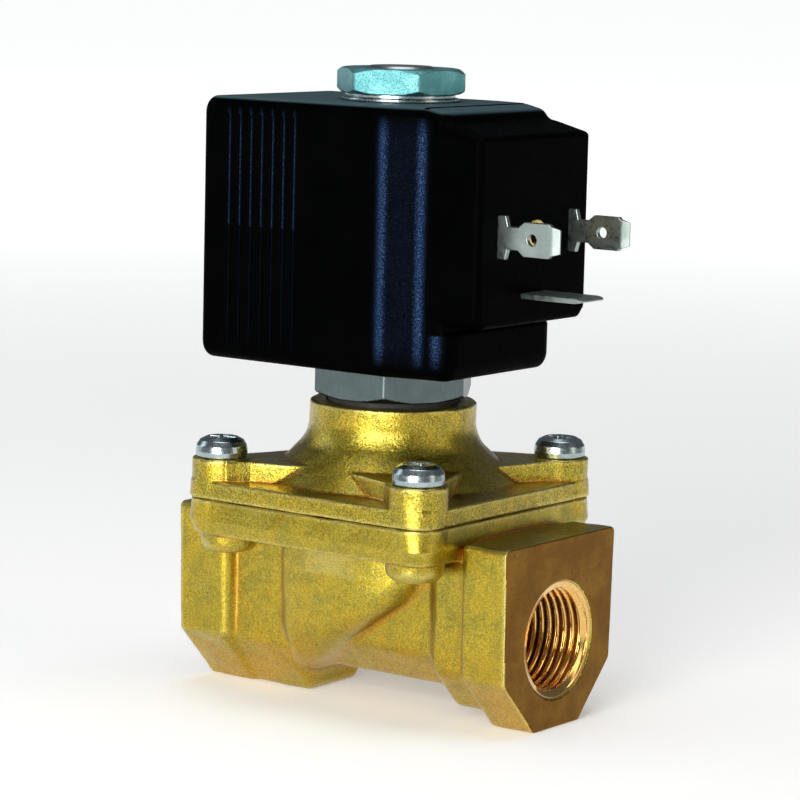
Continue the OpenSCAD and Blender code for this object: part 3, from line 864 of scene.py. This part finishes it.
def thread_sleeve(name, mouth_x, way):
    """Lining of a port: the inner thread with its lead-in, on a thin sleeve of metal."""
    around, rows_each = 120, 13
    rows = int(THREAD_LEN / THREAD_PITCH * rows_each)
    outer, start, slope = 8.5, 0.3, 6.0
    vertices = []
    for i in range(rows + 1):
        deep = start + (THREAD_LEN - start) * i / rows
        for k in range(around):
            a = 2 * math.pi * k / around
            phase = (deep / THREAD_PITCH - way * a / (2 * math.pi)) % 1.0
            saw = 1 - abs(2 * phase - 1)
            form = min(max((saw - 0.5) * 1.28 + 0.5, 0.0), 1.0)
            form = form * form * (3 - 2 * form) * 0.35 + form * 0.65
            r = THREAD_MINOR + (THREAD_MAJOR - THREAD_MINOR) * form
            r = max(r, MOUTH_R + 0.01 - slope * (deep - start))
            r = min(r, outer - 0.05)
            vertices.append((mouth_x - way * deep, r * math.cos(a), r * math.sin(a)))
    for deep in (start, THREAD_LEN):
        for k in range(around):
            a = 2 * math.pi * k / around
            vertices.append((mouth_x - way * deep, outer * math.cos(a), outer * math.sin(a)))
    faces = []
    first, last = (rows + 1) * around, (rows + 2) * around
    for k in range(around):
        n = (k + 1) % around
        for i in range(rows):
            faces.append((i * around + k, i * around + n, (i + 1) * around + n,
                          (i + 1) * around + k))
        faces.append((k, first + k, first + n, n))
        faces.append((rows * around + n, last + n, last + k, rows * around + k))
        faces.append((first + k, last + k, last + n, first + n))
    if way < 0:
        faces = [f[::-1] for f in faces]
    made = new_object(name, vertices, faces)
    made.data.set_sharp_from_angle(angle=math.radians(50))
    return made


def paint_ends(piece, material, skin=0.16):
    """The machined port faces take their own material."""
    piece.data.materials.append(material)
    for face in piece.data.polygons:
        x = (face.center.x - AXIS_X) / MM
        if (x > OUTLET_X - skin or x < INLET_X + skin) and abs(face.normal.x) > 0.9:
            face.material_index = 1


def build_body():
    body = from_solid("body_forging", body_solid, (INLET_X, -22.5, FOOT_Z),
                      (OUTLET_X, 22.5, JOINT_Z), FORGING_GRID, reach=EDGE_REACH)
    dress(body, "brass_forging", "valve", "valve_body")
    paint_ends(body, MATERIALS["machined_brass"])
    for name, mouth, way in (("inlet_thread", INLET_X, -1), ("outlet_thread", OUTLET_X, 1)):
        dress(thread_sleeve(name, mouth, way), "thread_brass", "valve")


# ---- bonnet
def bonnet_solid(x, y, z):
    radial = np.hypot(x, y)
    plate = flange_plan(x, y, 22.3 - 0.04 * (z - JOINT_Z))
    plate = meet(plate, slab(z, JOINT_Z + 0.02, PLATE_Z), 0.32)
    cone = meet((radial - 19.0 + (z - PLATE_Z)) * DIAGONAL, z - 30.0)
    neck = meet(radial - 12.4, slab(z, 18.0, 32.0), 0.45)
    dome = join(cone, neck, 1.6)
    made = join(plate, dome, 0.5)
    sx, sy = at_screws(x, y)
    made = join(made, rod(sx, sy, z, 4.35, JOINT_Z + 0.3, BOSS_Z, 0.3), 0.3)
    across = np.abs(np.abs(x) - np.abs(y)) * DIAGONAL
    along = (np.abs(x) + np.abs(y)) * DIAGONAL
    widening = 0.495 * np.maximum(21.5 - along, 0)
    rib = meet((across - 4.25 - widening) * 0.92, z - BOSS_Z + 0.25, 0.3)
    rib = meet(rib, slab(along, 12.0, 25.0))
    made = join(made, meet(rib, JOINT_Z + 0.5 - z), 0.3)
    made = made + wander(x, y, z, 13.0, 0.10) * np.clip((z - JOINT_Z) / 2, 0, 1)
    made = meet(made, JOINT_Z - z)
    made = meet(made, np.maximum(np.abs(x), np.abs(y)) - SIDE_Y)
    chamber = turned([(0, 16.5), (CHAMBER_R, 16.5), (CHAMBER_R, 19.7), (8, 25), (0, 25)], x, y, z)
    vents = [rod(x - 6 * math.cos(a), y - 6 * math.sin(a), z, 0.9, 24, 28.2)
             for a in (math.radians(120), math.radians(240))]
    return cut(made, union(
        chamber, *vents,
        rod(x, y, z, 9.0, 27.2, 33),
        rod(x, y, z, 9.8, 30.8, 33),
        rod(sx, sy, z, 2.25, 16.5, 24.4),
        rod(x, y, z, 2.5, 24, 28.2),
    ))


# ---- coil
COIL_REAR = -25.9
COIL_FRONT = 19.8
COIL_SIDE = 15.2
COIL_LOW, COIL_TOP = 37.4, 76.3
PLUG_FACE = 24.5
PLUG_LOW = 45.1
GROOVE_FIRST = -20.3
GROOVE_PITCH = 2.02
GROOVES = 7
FACET_EDGES = ((8.3, 15.2, 37, 77), (14.1, 13.7, 37, 77), (17.0, 13.4, 37, 44))


def paint_coil_glints(piece):
    """Paints highlight glints on the edges of the facets and on the rims of the grooves, strong
    above the seam and faint below: a painted highlight kept as a point value.
    """
    x, y, z = points_of(piece).T
    y = np.abs(y)
    painted_glint = np.zeros(len(x))
    for ex, ey, low, high in FACET_EDGES:
        near = np.exp(-((x - ex) ** 2 + (y - ey) ** 2) / 0.45)
        painted_glint = np.maximum(painted_glint, near * (z > low) * (z < high))
    for i in range(GROOVES):
        rim = GROOVE_FIRST + GROOVE_PITCH * i + 0.40
        near = np.exp(-((x - rim) ** 2 + (y - COIL_SIDE) ** 2) / 0.04)
        painted_glint = np.maximum(painted_glint, near * np.where(z > SEAM_Z, 1.0, 0.12))
    # painted highlight: a faint glint over the whole facet
    painted_glint = np.maximum(painted_glint, 0.07 * (x > 8.3) * (x < 14.2) * (y > 13))
    painted_glint *= np.clip((z - 39) / 3, 0, 1) * np.clip((75 - z) / 3, 0, 1)
    layer = piece.data.attributes.new("painted_glint", "FLOAT", "POINT")
    layer.data.foreach_set("value", painted_glint.astype(np.float32))
    return piece


def coil_solid(x, y, z):
    ay = np.abs(y)
    plan = soft_polygon([(COIL_REAR, -COIL_SIDE), (8.5, -COIL_SIDE), (14.1, -13.7),
                         (17.0, -13.4), (COIL_FRONT, -12.6), (COIL_FRONT, 12.6), (17.0, 13.4),
                         (14.1, 13.7), (8.5, COIL_SIDE), (COIL_REAR, COIL_SIDE)], x, y, 2.3)
    side = soft_polygon([(COIL_REAR, COIL_LOW), (COIL_FRONT, COIL_LOW), (COIL_FRONT, 73.2),
                         (17.2, 75.6), (13.8, COIL_TOP), (COIL_REAR, COIL_TOP)], x, z, 2.6)
    case = meet(plan, side, 1.9)
    case = cut(case, meet(slab(z, 44.4, 46.0), 18.2 - x), 0.4)
    front = soft_polygon([(15.2, PLUG_LOW), (PLUG_FACE, PLUG_LOW), (PLUG_FACE, 72.6),
                          (19.6, 74.0), (16.0, 74.7), (15.2, 74.7)], x, z, 0.9)
    face = mirrored([(-12.4, 75.2), (-14.0, 72.4), (-14.0, 46.8), (-12.3, PLUG_LOW)])
    face = soft_polygon(face, y, z, 0.9)
    made = join(case, meet(front, face, 1.1), 0.4)
    line = meet(slab(x, 13.7, 14.2), np.maximum(76.0 - z, ay - 12.6))
    made = cut(made, line, 0.1)
    for i in range(GROOVES):
        gx = GROOVE_FIRST + GROOVE_PITCH * i
        groove = meet(np.hypot(x - gx, ay - 15.35) - 0.48, slab(z, 39.4, 73.9), 0.3)
        made = cut(made, groove, 0.12)
    rear, low, high, sheet = -19.4, 39.2, 74.3, 2.6
    yoke = union(
        np.maximum(slab(x, rear, 13.0), slab(z, low, low + sheet)),
        np.maximum(slab(x, rear, 13.0), slab(z, high - sheet, high)),
        np.maximum(slab(x, rear, rear + sheet), slab(z, low, high)),
    )
    return cut(made, union(
        np.maximum(yoke, ay - 11),
        rod(x, y, z, 6.6, 36, 78),
        rod(x, y, z, 12.6, low + sheet, high - sheet),
        rod(x, y, z, 8.5, high, 78),
        bore_x(x, y, z - CONTACT_Z, 2.1, 17.5, 26),
    ))


# ---- small parts
def screw_solid(x, y, z):
    """Pan head screw M4 with a cross recess, its own axis at the origin."""
    radial = np.hypot(x, y)
    head = mirrored([(-2.4, 26.4), (-3.25, 25.95), (-3.72, 25.2), (-3.86, 24.3),
                     (-3.72, BOSS_Z)])
    head = soft_polygon(head, radial, z, 0.3)
    made = join(head, rod(x, y, z, 1.99, 11.6, 23.6, 0.3))
    taper = np.maximum(26.5 - z, 0) * 0.42
    long, wide = 2.1 - taper, 0.55 - 0.25 * taper
    wing = np.minimum(np.maximum(np.abs(x) - long, np.abs(y) - wide),
                      np.maximum(np.abs(y) - long, np.abs(x) - wide))
    recess = np.maximum(wing, 24.7 - z)
    return cut(made, recess, 0.06)


def hexagon(x, y, flats, turn, r):
    made = None
    for k in range(3):
        a = turn + k * math.pi / 3
        side = np.abs(x * math.cos(a) + y * math.sin(a)) - flats / 2
        made = side if made is None else meet(made, side, r)
    return made


def steep_cone(radial, r, rise):
    """Chamfer of a hexagon: a 60 degree cone of radius r where the rise is 0."""
    return (radial - r - rise * 1.75) * 0.496


def base_solid(x, y, z):
    """Hexagon of the tube's base with a turned chamfer below, on its threaded spigot."""
    radial = np.hypot(x, y)
    six = hexagon(x, y, 22.0, math.pi / 6, 0.25)
    low, high = 32.8, 37.38
    six = meet(six, slab(z, low, high), 0.12)
    six = meet(six, steep_cone(radial, 11.0, z - low), 0.1)
    six = meet(six, steep_cone(radial, 12.3, high - z), 0.1)
    made = join(six, rod(x, y, z, 8.95, 27.3, 33.5))
    return cut(made, union(rod(x, y, z, 5.9, 26, 39), rod(x, y, z, 6.5, 28.7, 39)))


def nut_solid(x, y, z):
    radial = np.hypot(x, y)
    low, high = 77.4, 81.1
    six = hexagon(x, y, 17.0, math.radians(52), 0.3)
    six = meet(six, slab(z, low, high), 0.15)
    six = meet(six, steep_cone(radial, 8.55, high - z), 0.12)
    six = meet(six, steep_cone(radial, 8.75, z - low), 0.12)
    bore = rod(x, y, z, 4.97, 76, 83)
    mouth = np.maximum((radial - 5.55 + (high - z)) * DIAGONAL, 80.0 - z)
    return cut(six, join(bore, mouth), 0.05)


def add_screws():
    """Four copies of one screw in one mesh, each with its recess turned its own way."""
    first = from_solid("bonnet_screw_parts", screw_solid, (-3.9, -3.9, 11.5), (3.9, 3.9, 26.6),
                       (0.12, 0.12, 0.12), 0.6)
    places = points_of(first)
    faces = [list(face.vertices) for face in first.data.polygons]
    outward = facing(screw_solid, places)
    shape = first.data
    bpy.data.objects.remove(first)
    bpy.data.meshes.remove(shape)
    turns = {(-1, -1): 0.35, (1, -1): 1.05, (1, 1): 0.15, (-1, 1): 0.7}
    vertices, all_faces, normals = [], [], []
    for (sx, sy), turn in turns.items():
        c, s = math.cos(turn), math.sin(turn)
        spin = np.array([[c, s, 0], [-s, c, 0], [0, 0, 1]])
        start = len(vertices) * len(places)
        vertices.append(places @ spin + np.array([sx * SCREW, sy * SCREW, 0]))
        normals.append(outward @ spin)
        all_faces += [[start + v for v in face] for face in faces]
    made = new_object("cover_screws", np.concatenate(vertices), all_faces)
    made.data.normals_split_custom_set_from_vertices(np.concatenate(normals).tolist())
    dress(made, "zinc_steel", "valve", "bonnet_screws")


BLADE_ROOT, BLADE_TIP = 16.4, 34.88
BLADE_T = 0.8


def blade(half, x, across, thick):
    """Flat contact with a thinned tip, from one half of its outline, root to tip."""
    outline = half + [(u, -v) for u, v in reversed(half)]
    gap = np.abs(thick) - BLADE_T / 2
    made = meet(polygon(outline, x, across), gap, 0.1)
    return meet(made, (gap + (x - 33.6) * 0.22) * 0.976, 0.05)


def contact_solid(x, y, z):
    z = z - CONTACT_Z
    made = blade([(BLADE_ROOT, -3.1), (25.8, -3.1), (26.2, -1.65), (27.9, -1.65),
                  (28.9, -2.45), (33.1, -2.45), (33.4, -2.1), (BLADE_TIP, -1.7)], x, z, y)
    return cut(made, np.hypot(x - 30.3, z) - 0.8, 0.06)


def earth_solid(x, y, z):
    return blade([(BLADE_ROOT, -3.15), (34.3, -3.15), (BLADE_TIP, -2.5)], x, y, z - EARTH_Z)


def insert_solid(x, y, z):
    z, end = z - CONTACT_Z, 24.9
    made = bore_x(x, y, z, 2.1, 17.5, end, 0.15)
    bore = bore_x(x, y, z, 1.25, 18.1, 26)
    mouth = np.maximum((np.hypot(y, z) - 1.7 - (x - end)) * DIAGONAL, 24.0 - x)
    return cut(made, join(bore, mouth), 0.04)


def build_small_parts():
    add_screws()
    dress(from_solid("tube_hexagon", base_solid, (-13, -13, 27.2), (13, 13, 37.4),
                     (0.2, 0.2, 0.2)), "turned_steel", "valve", "tube_base")
    dress(from_solid("top_nut", nut_solid, (-10, -10, 77.3), (10, 10, 81.2),
                     (0.14, 0.14, 0.14)), "zinc_nut", "valve", "coil_nut")
    for name, node, side in (("near_contact", "line_terminal", -9),
                             ("far_contact", "neutral_terminal", 9)):
        solid = (lambda x, y, z, side=side: contact_solid(x, y - side, z))
        dress(from_solid(name, solid, (16.3, side - 0.5, 55.3), (35, side + 0.5, 61.7),
                         (0.12, 0.1, 0.12)), "tinned_brass", "coil", node)
    dress(from_solid("earth_contact", earth_solid, (16.3, -3.2, 49.2), (35, 3.2, 50.2),
                     (0.12, 0.12, 0.1)), "tinned_brass", "coil", "earth_terminal")
    dress(from_solid("screw_insert", insert_solid, (17.4, -2.2, 56.3), (25, 2.2, 60.7),
                     (0.1, 0.1, 0.1)), "turned_brass", "coil", "plug_insert")
    stud = rounded_profile([(0, 60.0), (2.5, 60.0), (2.5, 58.5), (3.7, 58.5), (3.7, 59.5),
                            (4.5, 59.5), (4.5, 58.5), (5.9, 58.5), (5.9, 74.3), (4.95, 74.9),
                            (4.95, 80.95), (4.5, 81.4), (0, 81.4)], 0.12)
    dress(revolve("tube_stop", stud), "stud_steel", "valve", "fixed_core")
    for name, node, r, low, high in (("plain_washer", "coil_washer", 8.6, 76.3, 76.8),
                                     ("spring_washer", "lock_washer", 8.1, 76.8, 77.4)):
        ring = rounded_profile([(5.15, low), (r, low), (r, high), (5.15, high)], 0.14)
        dress(revolve(name, ring), "zinc_steel", "valve", node)
    gasket = rounded_profile([(9.0, 30.85), (9.7, 30.85), (9.7, 32.75), (9.0, 32.75)], 0.3)
    dress(revolve("neck_gasket", gasket), "rubber", "valve", "tube_seal")
    skin = rounded_profile([(2, 13.5), (9.4, 13.5), (13.1, 16.0), (14.5, 16.2), (17.2, 16.2),
                            (17.2, 17.5), (12.5, 17.4), (8.9, 14.8), (2, 14.8)], 0.35)
    squash(revolve("rubber_membrane", skin), "membrane_rubber", "diaphragm")
    squash(spring("closing_spring", 5.4, 0.8, 16.0, 25.0, 4.5), "spring_steel",
           "diaphragm_spring")
    squash(spring("return_spring", 1.9, 0.5, 48.5, 60.0, 9), "spring_steel",
           "plunger_spring")


def dress_cad_nodes():
    """The CAD nodes that keep their shape take their procedural materials."""
    finishes = {
        "pilot_seat": "turned_brass", "drain_seal": "rubber", "diaphragm_disc": "stainless",
        "diaphragm_washer": "stainless", "diaphragm_rivet": "turned_brass",
        "armature_tube": "stainless", "shading_ring": "copper", "plunger": "stainless",
        "plunger_seal": "rubber", "bobbin": "bobbin_plastic", "winding": "copper_wire",
        "yoke_frame": "yoke_steel", "flux_sleeve": "yoke_steel", "coil_seal": "rubber",
    }
    for node, material in finishes.items():
        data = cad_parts[node].data
        data.materials.clear()
        data.materials.append(MATERIALS[material])


# ---- studio
def add_area(name, place, target, size, power, colour=(1, 1, 1)):
    data = bpy.data.lights.new(name, "AREA")
    data.shape = "RECTANGLE"
    data.size, data.size_y = size
    data.energy = power
    data.color = colour
    light = bpy.data.objects.new(name, data)
    bpy.context.scene.collection.objects.link(light)
    light.location = place
    light.rotation_euler = (Vector(target) - Vector(place)).to_track_quat("-Z", "Y").to_euler()


def build_studio():
    floor_mesh = bpy.data.meshes.new("floor")
    reach = 40.0
    z = FLOOR_Z - 0.1 * MM
    floor_mesh.from_pydata([(-reach, -reach, z), (reach, -reach, z), (reach, reach, z),
                            (-reach, reach, z)], [], [(0, 1, 2, 3)])
    floor = place_mesh("floor", floor_mesh)
    paper = Graph("paper")
    away = paper.add("ShaderNodeVectorMath", operation="LENGTH")
    paper.put(paper.coords, away.inputs[0])
    shine = paper.band(away.outputs["Value"], 0.15, 1.1, 0.30, 0.88)
    paper.finish((0.82, 0.82, 0.82), 0.9, None, **{
        "Specular IOR Level": 0.0,
        "Emission Color": (1.0, 1.0, 1.0, 1.0),
    })
    paper.put(shine, paper.shader.inputs["Emission Strength"])
    floor_mesh.materials.append(paper.material)
    world = bpy.data.worlds.new("studio")
    bpy.context.scene.world = world
    world.use_nodes = True
    background = world.node_tree.nodes["Background"]
    background.inputs["Color"].default_value = (0.88, 0.94, 1.0, 1.0)
    background.inputs["Strength"].default_value = 0.12
    middle = (AXIS_X, 0.0, 0.03)

    def around(azimuth, elevation, far):
        a, e = math.radians(azimuth), math.radians(elevation)
        return (
            middle[0] + far * math.sin(a) * math.cos(e),
            middle[1] - far * math.cos(a) * math.cos(e),
            middle[2] + far * math.sin(e),
        )

    add_area("key", around(14, 12, 0.75), middle, (0.42, 0.48), 6.2, (1.0, 0.99, 0.96))
    add_area("left", around(-70, 20, 0.9), middle, (0.3, 0.5), 0.9, (0.86, 0.94, 1.0))
    add_area("right", around(100, 20, 0.9), middle, (0.3, 0.5), 1.0, (1.0, 0.88, 0.74))
    add_area("top", (AXIS_X, 0.0, 1.2), middle, (0.8, 0.8), 6.5)
    bpy.context.scene.view_settings.view_transform = "Standard"


build_body()
dress(from_solid("bonnet_forging", bonnet_solid, (-22.5, -22.5, JOINT_Z), (22.5, 22.5, 32.0),
                 FORGING_GRID, reach=EDGE_REACH), "brass_bonnet", "valve", "bonnet")
coil = from_solid("coil_moulding", coil_solid, (COIL_REAR, -15.3, 37.3), (24.6, 15.3, 76.4),
                  (0.22, 0.3, 0.3))
dress(paint_coil_glints(coil), "coil_plastic", "coil", "coil_case")
build_small_parts()
dress_cad_nodes()
build_studio()
